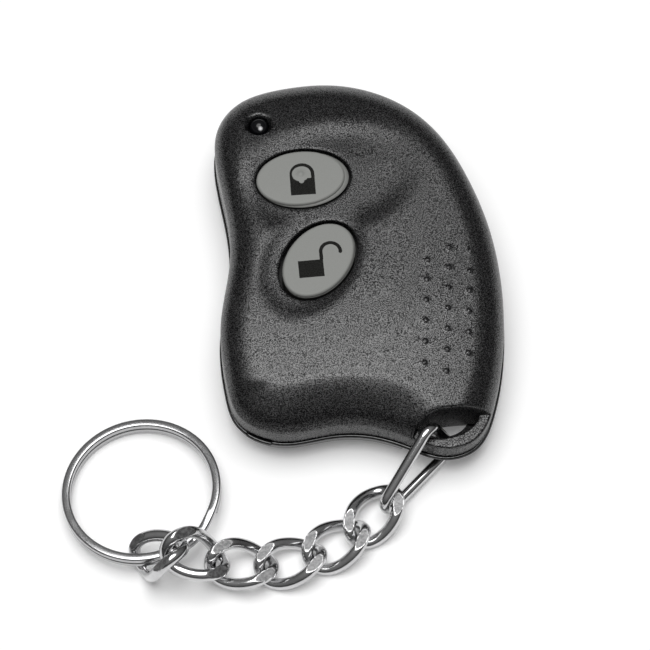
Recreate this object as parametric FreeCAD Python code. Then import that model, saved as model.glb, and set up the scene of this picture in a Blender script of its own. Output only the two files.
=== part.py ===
import FreeCAD, Part
import math
import os

V = FreeCAD.Vector

# Keyless entry remote with a curb chain and a split ring, lying on its back.
# Millimetres. +Z is up, +Y runs to the end with the indicator light, and the origin is the
# middle of the flat back face, at the level of the table.

# The case
PARTING_Z = 4.8          # the two shells meet here
GROOVE = 0.25            # open line between the shells
CROWN_Z = 13.6           # highest level of the upper shell
SHOULDER_R = 4.0         # rounding between wall and top
WALL = 1.5               # wall of both shells
DRAFT = 0.35             # inward lean of the upper wall up to the shoulder
BACK_R = 4.1             # rounding between the lower wall and the flat back
LOWER_STEP = 0.12        # the lower shell is set in by this much at the groove
LIP_T = 0.7              # thickness of the lower shell's locating lip
LIP_H = 1.4              # height of that lip above the lower shell's rim
LIP_CLEAR = 0.08         # fit between lip and upper wall
STATIONS = 36            # points that each outline section goes through

# Kidney outline at the parting line, anticlockwise from the pry notch
OUTLINE = [
    (-15.8, -29.0), (-11.5, -29.9), (-5.0, -28.8), (1.0, -28.7), (7.0, -30.5), (12.4, -32.2),
    (17.2, -30.6), (20.1, -25.2), (21.9, -15.0), (21.8, -4.0), (20.1, 5.5), (16.7, 14.6),
    (11.6, 23.3), (4.5, 29.6), (-4.0, 32.4), (-12.5, 31.5), (-19.7, 28.1), (-23.0, 22.5),
    (-23.0, 15.5), (-21.2, 6.5), (-20.6, -1.5), (-21.8, -12.0), (-20.9, -21.5), (-18.9, -26.8),
]

# Relief of the top: it falls away to the back and to the right of a soft crest
BACK_FALL_Y = 13.0
BACK_FALL = 0.0095
CREST_X = 4.2            # the crest's place at the origin's level
CREST_LEAN = 0.12        # the crest moves right by this much for each millimetre back
SIDE_FALL = 0.0045
CROWN_RUN = 20.0         # both falls are drawn over this length
REACH = 45.0             # cutting bodies run this far past the case

# The hollow that holds both buttons, two ovals run together:
# (x, y, half length, half width, turn in degrees), measured at the floor of the hollow
SCOOP_FLOOR_Z = 12.1
SCOOPS = [(-6.9, -2.2, 9.0, 6.9, 70.0), (-5.5, 12.6, 11.0, 6.6, 12.0)]
SCOOP_SLOPE = 2.2        # its wall leans outwards by this much for each millimetre up

# The two push buttons: (name, x, y, turn of the oval in degrees)
BUTTONS = [("lock", -9.4, 11.7, 7.6), ("unlock", -6.6, -2.7, 57.0)]
BUTTON_A = 6.9           # half length of the oval top
BUTTON_B = 4.8           # half width
BUTTON_TOP_Z = 13.2
BUTTON_TRAVEL = 0.5
BUTTON_TAPER = 0.25      # the cap is wider by this much at its foot
OPENING_CLEAR = 0.3      # between the cap's foot and its opening
FLANGE = 0.9             # the flange stands out beyond the opening by this much
FLANGE_T = 0.8
LAND_Z = 10.5            # flat land under the hollow on which the flanges seat
LAND = (-30.0, -14.5, 38.5, 35.5)      # corner and size of that land
LAND_CLEAR = 0.1
NUB_R = 1.6

# The board and what is soldered to it
BOARD_Z = 3.2
BOARD_T = 1.2
BOARD_INSET = 3.7
BOARD_END_Y = -10.0
SWITCH_SIZE = 6.0
SWITCH_H = 3.4
SWITCH_TOTAL = 4.3
SWITCH_TRAVEL = 0.25
PLUNGER_R = 1.7
FLOOR_Z = 1.5            # inside face of the lower shell
LED_XY = (-16.0, 21.6)
LED_R = 1.5
LED_TOP_Z = 13.0
LED_CONE_R = 2.35        # countersink round the light

RESONATOR_R = 4.6

# The battery
CELL_R = 4.0
CELL_L = 27.0
CELL_X = -2.5
CELL_Y = -16.2
CELL_Z = 5.95

# The corner with the chain slot: the wall behind it, and the low bridge in front of it
STEP_LINE = [
    (6.6, -34.0), (7.3, -30.7), (8.4, -28.8), (10.4, -27.5), (13.2, -26.8), (17.0, -26.4), (26.0, -26.2),
]
BRIDGE_Z = 7.9           # top of the bridge
UNDERCUT_Z = 3.4         # the bridge's underside clears the loop
SLOT = (12.9, -27.3, 4.7, 2.7, 18.0)        # centre, half length, half width, turn
SLOT_BELOW = (12.5, -26.2, 5.4, 3.7, 16.0)  # the same opening in the lower shell
STEP_BACK = 1.9          # the lower shell's opening reaches this much further in

# Wire goods
WIRE_SIDES = 8           # facets round each wire
LOOP_WIRE_R = 0.8
LOOP_TIP = V(3.46, -39.5, 2.88)      # narrow end, inside the first link
LOOP_UPPER = V(10.2, -29.15, 10.4)
LOOP_LOWER = V(13.9, -28.5, 0.95)
LOOP_BEND_R = 1.9
LOOP_BEND_STEPS = 4
LINK_WIRE_R = 0.92
LINK_A = 4.75            # half length of the link's centre line
LINK_B = 3.05            # half width
LINK_TWIST = 45.0        # each end is turned by this angle out of the link's plane
LINK_FULLNESS = 2.35     # power of the oval: 2 is an ellipse, more is squarer
LINK_FLAT_Z = 1.8        # the diamond-cut flats lie this far from the middle plane
LINK_STATIONS = 16
# Where each link lies: x, y, z of its middle, heading, end lift and roll in degrees
LINK_POSES = [
    (1.65, -40.42, 2.38, 51, 5.3, 5.5),
    (-3.9, -44.9, 1.9, 32, 2, -1),
    (-10.7, -47.7, 1.9, 16, 2, 0),
    (-17.9, -48.4, 2.7, 0, -11, 5),
    (-24.6, -47.9, 5.3, -9, -29, 7),
    (-30.3, -47.7, 4.4, -17, 43, 12),
]
RING_R = 11.35           # mean radius of the split ring
RING_W = 1.3             # width of its wire across the ring
RING_T = 1.05            # height of one coil
RING_PITCH = 1.12        # one coil above the next
RING_CENTRE = V(-33.14, -36.58, 2.3)
RING_TILT = 5.5          # lifted edge, degrees
RING_TILT_TO = -50.5     # direction of the lifted edge, degrees from +X
RING_JOG = -32.0         # where the wire steps from one coil to the other
RING_SPANS = 40          # straight spans that make up each coil
JOG_SPAN = 26.0
RING_END_GAP = 2.0       # each cut end stops this many degrees short of the step


def closed_curve(points):
    curve = Part.BSplineCurve()
    curve.interpolate(points, PeriodicFlag=True)
    return curve


def open_curve(points):
    curve = Part.BSplineCurve()
    curve.interpolate(points)
    return curve


OUTLINE_CURVE = closed_curve([V(x, y, 0) for x, y in OUTLINE])


def inset_points(inset):
    """Points of the kidney outline moved inwards by inset."""
    first = OUTLINE_CURVE.FirstParameter
    span = OUTLINE_CURVE.LastParameter - first
    points = []
    for i in range(STATIONS):
        u = first + span * i / STATIONS
        p = OUTLINE_CURVE.value(u)
        t = OUTLINE_CURVE.tangent(u)[0]
        points.append(V(p.x - t.y * inset, p.y + t.x * inset, 0))
    return points


def section(inset, height):
    """A closed wire round the case. height is a level, or a function of x and y."""
    points = inset_points(inset)
    for p in points:
        p.z = height(p.x, p.y) if callable(height) else height
    return Part.Wire([closed_curve(points).toShape()])


def crown(x, y):
    """Level of the top before the hollow is cut into it."""
    back = max(0.0, y - BACK_FALL_Y)
    side = max(0.0, x - CREST_X - CREST_LEAN * y)
    return CROWN_Z - max(BACK_FALL * back * back, SIDE_FALL * side * side)


def above_curve(start, fall, run, across, along, drop, straight):
    """The space above a level line that turns into a falling curve or slope, drawn out along a direction."""
    lift = V(0, 0, 2 * CROWN_Z)
    level = V(0, 0, CROWN_Z - drop)
    first = start - across * REACH + level
    middle = start + level
    last = middle + across * run - V(0, 0, fall * run * run)
    bend = Part.BezierCurve()
    bend.setPoles([middle, last] if straight else [middle, middle + across * (run / 2), last])
    rest = Part.makePolygon([last, last + lift, first + lift, first, middle])
    return Part.Face(Part.Wire([bend.toShape()] + rest.Edges)).extrude(along)


def above_crown(drop, straight=False):
    """The two spaces above the crown when that is lowered by drop, or above slopes that stand for its curves."""
    run = CROWN_RUN
    back = above_curve(V(-REACH, BACK_FALL_Y, 0), BACK_FALL, run, V(0, 1, 0), V(2 * REACH, 0, 0), drop, straight)
    corner_x = CREST_X - CREST_LEAN * REACH
    side = above_curve(V(corner_x, -REACH, 0), SIDE_FALL, run, V(1, 0, 0),
                       V(2 * CREST_LEAN * REACH, 2 * REACH, 0), drop, straight)
    return [back, side]


def ruled(lower, upper, solid=False):
    return Part.makeLoft([lower, upper], solid, True)


def capped(pieces, bottom, top):
    """A solid from open bands that share their rims, closed by two flat caps."""
    faces = [Part.Face(bottom), Part.Face(top)]
    for piece in pieces:
        faces += piece.Faces
    skin = Part.Compound(faces)
    skin.sewShape()
    solid = Part.Solid(skin.Shells[0])
    if solid.Volume < 0:
        solid.reverse()
    return solid


def upper_outside():
    """The upper shell as a full body: drafted wall, round shoulder, relief on top."""
    foot = section(0, PARTING_Z)
    rise = 0.04          # the shoulder ends just above the crown, which then trims it

    def at(angle):
        drop = SHOULDER_R * (1 - math.sin(angle)) - rise
        return section(DRAFT + SHOULDER_R * (1 - math.cos(angle)), lambda x, y: crown(x, y) - drop)

    arc = [at(math.radians(a)) for a in (0, 28, 56, 82)]
    head = section(DRAFT + SHOULDER_R + 1.5, CROWN_Z + 3)
    shoulder = Part.makeLoft(arc, False, True)
    body = capped([ruled(foot, arc[0]), shoulder, ruled(arc[-1], head)], foot, head)
    body = body.cut(above_crown(0))
    for x, y, a, b, turn in SCOOPS:
        rise = CROWN_Z + 1 - SCOOP_FLOOR_Z
        spread = rise * SCOOP_SLOPE
        hollow = ruled(oval_wire(a, b, 0), oval_wire(a + spread, b + spread, rise), True)
        hollow.Placement = FreeCAD.Placement(V(x, y, SCOOP_FLOOR_Z), FreeCAD.Rotation(turn, 0, 0))
        body = body.cut(hollow)
    return body


def upper_inside():
    """The hollow of the upper shell, with the flat land for the button flanges left in it."""
    foot = section(WALL, PARTING_Z - 1)
    waist = section(WALL + DRAFT, lambda x, y: crown(x, y) - SHOULDER_R)
    ceiling = section(WALL + DRAFT + 2.0, lambda x, y: crown(x, y) - WALL + 0.2)
    head = section(WALL + DRAFT + 2.6, CROWN_Z + 2)
    body = capped([ruled(foot, waist), ruled(waist, ceiling), ruled(ceiling, head)], foot, head)
    body = body.cut(above_crown(WALL, True))
    x, y, length, width = LAND
    body = body.cut(Part.makeBox(length, width, REACH, V(x, y, LAND_Z)))
    return body.cut(corner(1.4, 0, 20))


def oval_wire(a, b, z):
    return Part.Wire([Part.Ellipse(V(0, 0, z), a, b).toShape()])


def oval(x, y, a, b, turn, z, height):
    """An upright oval prism."""
    prism = Part.Face(oval_wire(a, b, 0)).extrude(V(0, 0, height))
    prism.Placement = FreeCAD.Placement(V(x, y, z), FreeCAD.Rotation(turn, 0, 0))
    return prism


def corner(back, z0, z1):
    """Everything beyond the step line at the chain corner, with the line moved back."""
    points = [V(x - 0.55 * back, y + 0.9 * back, z0) for x, y in STEP_LINE]
    curve = open_curve(points).toShape()
    first = points[0]
    last = points[-1]
    far = [last, V(last.x, first.y - 4, z0), V(first.x, first.y - 4, z0), first]
    wire = Part.Wire([curve] + Part.makePolygon(far).Edges)
    return Part.Face(wire).extrude(V(0, 0, z1 - z0))


def slot(shape, back, z0, z1):
    x, y, a, b, turn = shape
    return oval(x, y, a, b, turn, z0, z1 - z0).common(corner(back, z0, z1))


def pry_notch():
    box = Part.makeBox(4.2, 2.4, 1.3, V(-2.1, -1.2, PARTING_Z - 0.95))
    box.Placement = FreeCAD.Placement(V(-15.9, -29.3, 0), FreeCAD.Rotation(-20, 0, 0))
    return box


def top_shell():
    shell = upper_outside().cut(upper_inside())
    shell = shell.cut(corner(0, BRIDGE_Z, 20))
    shell = shell.cut(slot(SLOT, 0, 0, 20))
    foot_a = BUTTON_A + BUTTON_TAPER + OPENING_CLEAR
    foot_b = BUTTON_B + BUTTON_TAPER + OPENING_CLEAR
    for name, x, y, turn in BUTTONS:
        shell = shell.cut(oval(x, y, foot_a, foot_b, turn, 8, 8))
    x, y = LED_XY
    surface_z = crown(x, y)
    bore_r = LED_R + 0.12
    sink = surface_z - 0.75
    shell = shell.cut(Part.makeCylinder(bore_r, 8, V(x, y, 8)))
    shell = shell.cut(Part.makeCone(bore_r, LED_CONE_R + 0.75, LED_CONE_R + 0.75 - bore_r, V(x, y, sink)))
    return shell.cut(pry_notch())


def bottom_shell():
    rim_z = PARTING_Z - GROOVE
    rim = section(LOWER_STEP, rim_z)
    steps = [math.radians(a) for a in (0, 30, 60, 90)]
    arc = [section(0.35 + BACK_R * (1 - math.cos(a)), BACK_R * (1 - math.sin(a))) for a in steps]
    body = capped([ruled(arc[0], rim), Part.makeLoft(arc, False, True)], rim, arc[-1])

    lip_out = WALL + LIP_CLEAR
    lip_in = lip_out + LIP_T
    lip_z = rim_z + LIP_H
    lip_ends = [section(lip_out, rim_z - 0.5), section(lip_out + DRAFT, lip_z)]
    lip = capped([ruled(*lip_ends)], *lip_ends)
    body = body.fuse(lip)
    well = [section(lip_in + 0.4, FLOOR_Z), section(lip_in, lip_z + 1)]
    inside = capped([ruled(*well)], *well)
    body = body.cut(inside.cut(corner(3.4, 0, 20)))
    body = body.cut(corner(-0.9, rim_z, 20).fuse(corner(1.9, rim_z, 20)))
    body = body.cut(slot(SLOT_BELOW, STEP_BACK, -1, 20))
    body = body.cut(corner(STEP_BACK, -1, UNDERCUT_Z))
    for x, y in ((-14, 14), (4, 22), (9, -4)):
        body = body.fuse(Part.makeCylinder(1.6, BOARD_Z - FLOOR_Z + 0.2, V(x, y, FLOOR_Z - 0.2)))
    for x in (CELL_X - 8, CELL_X + 8):
        reach = CELL_R + 0.2
        cradle = Part.makeBox(1.2, 2 * reach, 2.6, V(x - 0.6, CELL_Y - reach, FLOOR_Z - 0.2))
        seat = Part.makeCylinder(CELL_R + 0.05, 2 * REACH, V(-REACH, CELL_Y, CELL_Z), V(1, 0, 0))
        body = body.fuse(cradle.cut(seat))
    return body.cut(pry_notch())


def button(x, y, turn):
    """Rubber cap: oval top with a soft edge, flange under the shell and a nub over the switch."""
    flange_z = LAND_Z - LAND_CLEAR
    foot_a = BUTTON_A + BUTTON_TAPER
    foot_b = BUTTON_B + BUTTON_TAPER

    edge = 0.35
    rim_z = BUTTON_TOP_Z - edge
    cap = ruled(oval_wire(foot_a, foot_b, flange_z - 0.1), oval_wire(BUTTON_A, BUTTON_B, rim_z), True)
    top = oval_wire(BUTTON_A - edge, BUTTON_B - edge, BUTTON_TOP_Z)
    bevel = ruled(oval_wire(BUTTON_A, BUTTON_B, rim_z), top, True)
    flange_a = foot_a + OPENING_CLEAR + FLANGE
    flange_b = foot_b + OPENING_CLEAR + FLANGE
    flange = oval(0, 0, flange_a, flange_b, 0, flange_z - FLANGE_T, FLANGE_T)
    nub_z = BOARD_Z + BOARD_T + SWITCH_TOTAL + SWITCH_TRAVEL + 0.02
    nub = Part.makeCylinder(NUB_R, flange_z - FLANGE_T - nub_z + 0.1, V(0, 0, nub_z))
    solid = cap.fuse(bevel).fuse(flange).fuse(nub).removeSplitter()
    solid.Placement = FreeCAD.Placement(V(x, y, 0), FreeCAD.Rotation(turn, 0, 0))
    return solid


def circuit_board():
    ends = [section(BOARD_INSET, BOARD_Z), section(BOARD_INSET, BOARD_Z + BOARD_T)]
    board = capped([ruled(*ends)], *ends)
    return board.common(Part.makeBox(2 * REACH, 2 * REACH, 2 * CROWN_Z, V(-REACH, BOARD_END_Y, 0)))


def switch_body(x, y, turn):
    """Tactile switch housing with its four legs and the bore its plunger slides in."""
    half = SWITCH_SIZE / 2
    z = BOARD_Z + BOARD_T
    body = Part.makeBox(SWITCH_SIZE, SWITCH_SIZE, SWITCH_H, V(-half, -half, z))
    body = body.makeChamfer(0.5, [e for e in body.Edges if abs(e.BoundBox.ZLength - SWITCH_H) < 0.01])
    body = body.cut(Part.makeCylinder(PLUNGER_R + 0.06, 1.2, V(0, 0, z + SWITCH_H - 0.8)))
    for sx in (-1, 1):
        for sy in (-1, 1):
            leg = Part.makeBox(0.5, 0.3, 1.4, V(sx * (half + 0.15) - 0.25, sy * 2.25 - 0.15, z))
            body = body.fuse(leg)
    body.Placement = FreeCAD.Placement(V(x, y, 0), FreeCAD.Rotation(turn, 0, 0))
    return body


def switch_plunger(x, y):
    z = BOARD_Z + BOARD_T
    height = SWITCH_TOTAL - SWITCH_H + 0.45
    return Part.makeCylinder(PLUNGER_R, height, V(x, y, z + SWITCH_TOTAL - height))


def status_led():
    """Round 3 mm lamp: domed body, base flange with its flat, two legs down to the board."""
    x, y = LED_XY
    base_z = LED_TOP_Z - 5.3
    profile = [V(0, 0, base_z), V(LED_R + 0.35, 0, base_z), V(LED_R + 0.35, 0, base_z + 0.9),
               V(LED_R, 0, base_z + 0.9), V(LED_R, 0, LED_TOP_Z - LED_R)]
    for degrees in (30, 60):
        a = math.radians(degrees)
        profile.append(V(LED_R * math.cos(a), 0, LED_TOP_Z - LED_R * (1 - math.sin(a))))
    profile += [V(0, 0, LED_TOP_Z), profile[0]]
    lamp = Part.Face(Part.makePolygon(profile)).revolve(V(0, 0, 0), V(0, 0, 1), 360)
    lamp = lamp.cut(Part.makeBox(2, 6, 0.9, V(LED_R, -3, base_z)))
    for side in (-1.27, 1.27):
        z = BOARD_Z + BOARD_T
        lamp = lamp.fuse(Part.makeBox(0.45, 0.45, base_z - z + 0.1, V(side - 0.225, -0.225, z)))
    lamp.translate(V(x, y, 0))
    return lamp


def battery():
    """Twelve volt cell, plus end to the right."""
    body = Part.makeCylinder(CELL_R, CELL_L, V(0, 0, 0), V(1, 0, 0))
    body = body.fuse(Part.makeCylinder(1.6, 1.0, V(CELL_L, 0, 0), V(1, 0, 0)))
    body.translate(V(CELL_X - CELL_L / 2, CELL_Y, CELL_Z))
    return body


def contact(x, face):
    """Leaf contact: a foot on the floor, an upright and a bent tongue towards the cell."""
    t = 0.3
    width = 5.0
    bulge = 0.75
    foot = 1.8
    points = [V(0, 0, FLOOR_Z + t), V(0, 0, CELL_Z - 2.6), V(-face * bulge, 0, CELL_Z), V(0, 0, CELL_Z + 2.6),
              V(face * t, 0, CELL_Z + 2.6), V(-face * (bulge - t), 0, CELL_Z), V(face * t, 0, CELL_Z - 2.6),
              V(face * t, 0, FLOOR_Z), V(-face * foot, 0, FLOOR_Z), V(-face * foot, 0, FLOOR_Z + t),
              V(0, 0, FLOOR_Z + t)]
    leaf = Part.Face(Part.makePolygon(points)).extrude(V(0, width, 0))
    leaf.translate(V(x, CELL_Y - width / 2, 0))
    return leaf


def encoder_chip():
    z = BOARD_Z + BOARD_T
    chip = Part.makeBox(9.9, 3.9, 1.5, V(0, 0, z + 0.1))
    for i in range(7):
        for y0 in (-1.0, 3.8):
            chip = chip.fuse(Part.makeBox(0.45, 1.1, 0.25, V(0.9 + 1.27 * i, y0, z)))
    chip.translate(V(0.5, 9.0, 0))
    return chip


def resonator_can():
    z = BOARD_Z + BOARD_T
    return Part.makeCylinder(RESONATOR_R, 2.8, V(3.5, 19.0, z))


def closed_wire(stations, axis, radius):
    """Wire through a closed run of (point, direction) stations, cut into small flat facets."""
    rings = []
    for point, along in stations:
        across = (axis - along * axis.dot(along)).normalize()
        side = along.cross(across)
        ring = []
        for k in range(WIRE_SIDES):
            a = 2 * math.pi * (k + 0.5) / WIRE_SIDES
            ring.append(point + across * (radius * math.cos(a)) + side * (radius * math.sin(a)))
        rings.append(ring)
    faces = []
    for i, ring in enumerate(rings):
        ahead = rings[(i + 1) % len(rings)]
        for k in range(WIRE_SIDES):
            n = (k + 1) % WIRE_SIDES
            for a, b, c in ((ring[k], ring[n], ahead[n]), (ring[k], ahead[n], ahead[k])):
                faces.append(Part.Face(Part.makePolygon([a, b, c, a])))
    skin = Part.Compound(faces)
    skin.sewShape()
    wire = Part.Solid(skin.Shells[0])
    if wire.Volume < 0:
        wire.reverse()
    return wire


def loop_link():
    """Long three-cornered wire loop: narrow end in the first link, wide end through the slot."""
    apex = LOOP_TIP
    for k in range(20):
        to_upper = (LOOP_UPPER - apex).normalize()
        to_lower = (LOOP_LOWER - apex).normalize()
        half = to_upper.getAngle(to_lower) / 2
        apex = LOOP_TIP - (to_upper + to_lower).normalize() * (LOOP_BEND_R / math.sin(half) - LOOP_BEND_R)
    corners = [apex, LOOP_UPPER, LOOP_LOWER]
    axis = (LOOP_UPPER - apex).cross(LOOP_LOWER - apex).normalize()
    stations = []
    for i in range(3):
        here = corners[i]
        back = (corners[i - 1] - here).normalize()
        ahead = (corners[(i + 1) % 3] - here).normalize()
        half = back.getAngle(ahead) / 2
        middle = (back + ahead).normalize()
        centre = here + middle * (LOOP_BEND_R / math.sin(half))
        swing = math.pi - 2 * half
        for k in range(LOOP_BEND_STEPS + 1):
            turn = FreeCAD.Rotation(axis, math.degrees(swing * (k / LOOP_BEND_STEPS - 0.5)))
            radial = turn.multVec(middle * -1)
            stations.append((centre + radial * LOOP_BEND_R, axis.cross(radial).normalize()))
    return closed_wire(stations, axis, LOOP_WIRE_R)


def link_point(t):
    c = math.cos(t)
    s = math.sin(t)
    u = LINK_A * math.copysign(abs(c) ** (2 / LINK_FULLNESS), c)
    w = LINK_B * math.copysign(abs(s) ** (2 / LINK_FULLNESS), s)
    turn = -math.radians(LINK_TWIST) * u / LINK_A
    return V(u, w * math.cos(turn), w * math.sin(turn))


def chain_link():
    """One curb link: an oval of round wire, both ends twisted, both faces cut flat."""
    step = 2 * math.pi / LINK_STATIONS
    curve = closed_curve([link_point(step * (i + 0.5)) for i in range(LINK_STATIONS)])
    first = curve.FirstParameter
    span = curve.LastParameter - first
    stations = []
    for i in range(LINK_STATIONS):
        u = first + span * i / LINK_STATIONS
        stations.append((curve.value(u), V(curve.tangent(u)[0]).normalize()))
    wire = closed_wire(stations, V(0, 0, 1), LINK_WIRE_R)
    reach = 2 * LINK_A
    keep = Part.makeBox(2 * reach, 2 * reach, 2 * LINK_FLAT_Z, V(-reach, -reach, -LINK_FLAT_Z))
    return wire.common(keep)


def split_ring():
    """Two flat coils of one wire, with a short step from one to the other."""
    inner = RING_R - RING_W / 2
    outer = RING_R + RING_W / 2
    half = JOG_SPAN / 2
    arc = 360 - JOG_SPAN - RING_END_GAP

    def rung(degrees, share):
        """The wire's section at an angle from the step; share runs from -1 to 1 over the step."""
        a = math.radians(RING_JOG + degrees)
        out = V(math.cos(a), math.sin(a), 0)
        z = V(0, 0, RING_PITCH * 0.25 * share * (3 - share * share) - RING_T / 2)
        top = V(0, 0, RING_T)
        near = out * inner + z
        far = out * outer + z
        return Part.makePolygon([near, far, far + top, near + top, near])

    spans = RING_SPANS
    lower = [rung(-half - arc + arc * k / spans, -1) for k in range(spans + 1)]
    upper = [rung(half + arc * k / spans, 1) for k in range(spans + 1)]
    step = [rung(half * (k / 3 - 1), k / 3 - 1) for k in range(7)]
    ring = Part.makeLoft(lower[:-1] + step + upper[1:], True, True)
    turn_to = FreeCAD.Rotation(RING_TILT_TO, 0, 0)
    lift = FreeCAD.Rotation(V(0, 1, 0), -RING_TILT)
    ring.Placement = FreeCAD.Placement(RING_CENTRE, turn_to * lift * turn_to.inverted())
    return ring.Solids[0]


def build():
    parts = {
        "top_shell": top_shell(),
        "bottom_shell": bottom_shell(),
        "circuit_board": circuit_board(),
        "status_led": status_led(),
        "battery": battery(),
        "positive_contact": contact(CELL_X + CELL_L / 2 + 1.0 + 0.78, 1),
        "negative_contact": contact(CELL_X - CELL_L / 2 - 0.78, -1),
        "encoder_chip": encoder_chip(),
        "resonator_can": resonator_can(),
        "loop_link": loop_link(),
        "split_ring": split_ring(),
    }
    for name, x, y, turn in BUTTONS:
        parts[name + "_button"] = button(x, y, turn)
        parts[name + "_switch_body"] = switch_body(x, y, turn)
        parts[name + "_switch_plunger"] = switch_plunger(x, y)
    link = chain_link()
    for i, (x, y, z, heading, lift, roll) in enumerate(LINK_POSES):
        placed = link.copy()
        placed.Placement = FreeCAD.Placement(V(x, y, z), FreeCAD.Rotation(heading, -lift, roll))
        parts["chain_link_%d" % (i + 1)] = placed
    return parts


os.makedirs("parts", exist_ok=True)
for name, shape in build().items():
    shape.exportStep("parts/%s.step" % name)
    print(name, "solids", len(shape.Solids), "valid", shape.isValid(), "volume", round(shape.Volume, 1))
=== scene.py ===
import bmesh
import bpy
import numpy as np
from mathutils import Matrix, Vector, geometry, kdtree


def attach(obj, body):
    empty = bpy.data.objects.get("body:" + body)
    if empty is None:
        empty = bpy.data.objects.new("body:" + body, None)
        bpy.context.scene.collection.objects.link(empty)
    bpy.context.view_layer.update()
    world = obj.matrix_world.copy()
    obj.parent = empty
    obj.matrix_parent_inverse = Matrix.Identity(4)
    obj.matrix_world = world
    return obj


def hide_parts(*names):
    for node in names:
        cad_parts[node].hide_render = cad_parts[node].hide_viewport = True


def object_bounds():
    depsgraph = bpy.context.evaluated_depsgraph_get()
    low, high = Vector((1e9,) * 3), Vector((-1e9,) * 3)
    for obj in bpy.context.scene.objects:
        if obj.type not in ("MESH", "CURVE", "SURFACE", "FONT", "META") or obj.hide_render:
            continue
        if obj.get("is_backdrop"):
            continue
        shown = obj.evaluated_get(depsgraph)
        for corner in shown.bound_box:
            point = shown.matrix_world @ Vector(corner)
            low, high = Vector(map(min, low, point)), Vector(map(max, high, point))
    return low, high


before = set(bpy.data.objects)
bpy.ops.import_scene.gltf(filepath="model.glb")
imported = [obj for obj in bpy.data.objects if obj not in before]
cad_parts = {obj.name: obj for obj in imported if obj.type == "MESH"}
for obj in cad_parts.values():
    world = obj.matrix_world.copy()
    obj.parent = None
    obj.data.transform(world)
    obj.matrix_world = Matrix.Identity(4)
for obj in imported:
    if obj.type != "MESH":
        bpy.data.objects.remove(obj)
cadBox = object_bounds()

# Shapes are worked out in millimetres and turned into metres when their mesh is made
mm = 0.001
scene = bpy.context.scene


def closedSpline(points, count):
    # evenly spaced points on a smooth closed curve, with the direction inwards
    p = np.array(points, float)
    n = len(p)
    chord = np.linalg.norm(np.roll(p, -1, 0) - p, axis=1)
    bend = np.zeros((n, n))
    pull = np.zeros((n, 2))
    for i in range(n):
        back, ahead = chord[i - 1], chord[i]
        bend[i, i - 1] += back
        bend[i, i] += 2 * (back + ahead)
        bend[i, (i + 1) % n] += ahead
        pull[i] = 6 * ((p[(i + 1) % n] - p[i]) / ahead - (p[i] - p[i - 1]) / back)
    curve = np.linalg.solve(bend, pull)
    fine = []
    for i in range(n):
        h, j = chord[i], (i + 1) % n
        t = np.linspace(0, h, 200, endpoint=False)[:, None]
        fine.append((curve[i] * (h - t) ** 3 + curve[j] * t ** 3) / (6 * h)
                    + (p[i] / h - curve[i] * h / 6) * (h - t) + (p[j] / h - curve[j] * h / 6) * t)
    fine = np.vstack(fine + [p[:1]])
    run = np.r_[0, np.cumsum(np.linalg.norm(np.diff(fine, axis=0), axis=1))]
    at = np.linspace(0, run[-1], count, endpoint=False)
    out = np.c_[np.interp(at, run, fine[:, 0]), np.interp(at, run, fine[:, 1])]
    along = np.roll(out, -1, 0) - np.roll(out, 1, 0)
    along /= np.linalg.norm(along, axis=1)[:, None]
    return out, np.c_[-along[:, 1], along[:, 0]]


def openSpline(points, count):
    # a smooth curve through a few points, by way of a Blender curve
    data = bpy.data.curves.new("stepGuide", "CURVE")
    spline = data.splines.new("BEZIER")
    spline.bezier_points.add(len(points) - 1)
    for knot, (x, y) in zip(spline.bezier_points, points):
        knot.co = (x, y, 0)
        knot.handle_left_type = knot.handle_right_type = "AUTO"
    data.resolution_u = count // (len(points) - 1)
    guide = bpy.data.objects.new("stepGuide", data)
    mesh = bpy.data.meshes.new_from_object(guide)
    out = np.array([v.co[:2] for v in mesh.vertices])
    bpy.data.objects.remove(guide)
    bpy.data.meshes.remove(mesh)
    return out


def nearest(line, points, closed):
    # distance of each point from a line, the foot on the line, and +1 where the point is on its left
    start = line if closed else line[:-1]
    end = np.roll(line, -1, 0) if closed else line[1:]
    run = end - start
    gap, side, foot = np.empty(len(points)), np.empty(len(points)), np.empty((len(points), 2))
    for i in range(0, len(points), 500):
        p = points[i:i + 500]
        t = (((p[:, None] - start) * run).sum(2) / (run ** 2).sum(1)).clip(0, 1)
        off = p[:, None] - (start + t[..., None] * run)
        k = (off ** 2).sum(2).argmin(1)
        off = off[np.arange(len(p)), k]
        gap[i:i + 500] = np.linalg.norm(off, axis=1)
        foot[i:i + 500] = p - off
        side[i:i + 500] = np.sign(run[k, 0] * off[:, 1] - run[k, 1] * off[:, 0])
    return gap, foot, side


def ovalGap(oval, points):
    # signed distance from the rim of an oval: (x, y, half length, half width, turn)
    x, y, a, b, turn = oval
    c, s = np.cos(np.radians(turn)), np.sin(np.radians(turn))
    dx, dy = points[:, 0] - x, points[:, 1] - y
    u, v = (dx * c + dy * s) / a, (dy * c - dx * s) / b
    size = np.sqrt(u * u + v * v) + 1e-9
    return (size - 1) * size / (np.sqrt((u / a) ** 2 + (v / b) ** 2) + 1e-9)


def ovalRing(oval, grow, count):
    x, y, a, b, turn = oval
    t = np.linspace(0, 2 * np.pi, count, endpoint=False)
    out = np.c_[np.cos(t) / a, np.sin(t) / b]
    out /= np.linalg.norm(out, axis=1)[:, None]
    ring = np.c_[a * np.cos(t), b * np.sin(t)] + grow * out
    c, s = np.cos(np.radians(turn)), np.sin(np.radians(turn))
    return ring @ np.array([[c, s], [-s, c]]) + (x, y)


def rounded(t, r):
    # how far a rounded edge has dropped at the distance t in from it
    return r - np.sqrt(np.maximum(r * r - np.clip(r - t, 0, r) ** 2, 0))


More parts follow.
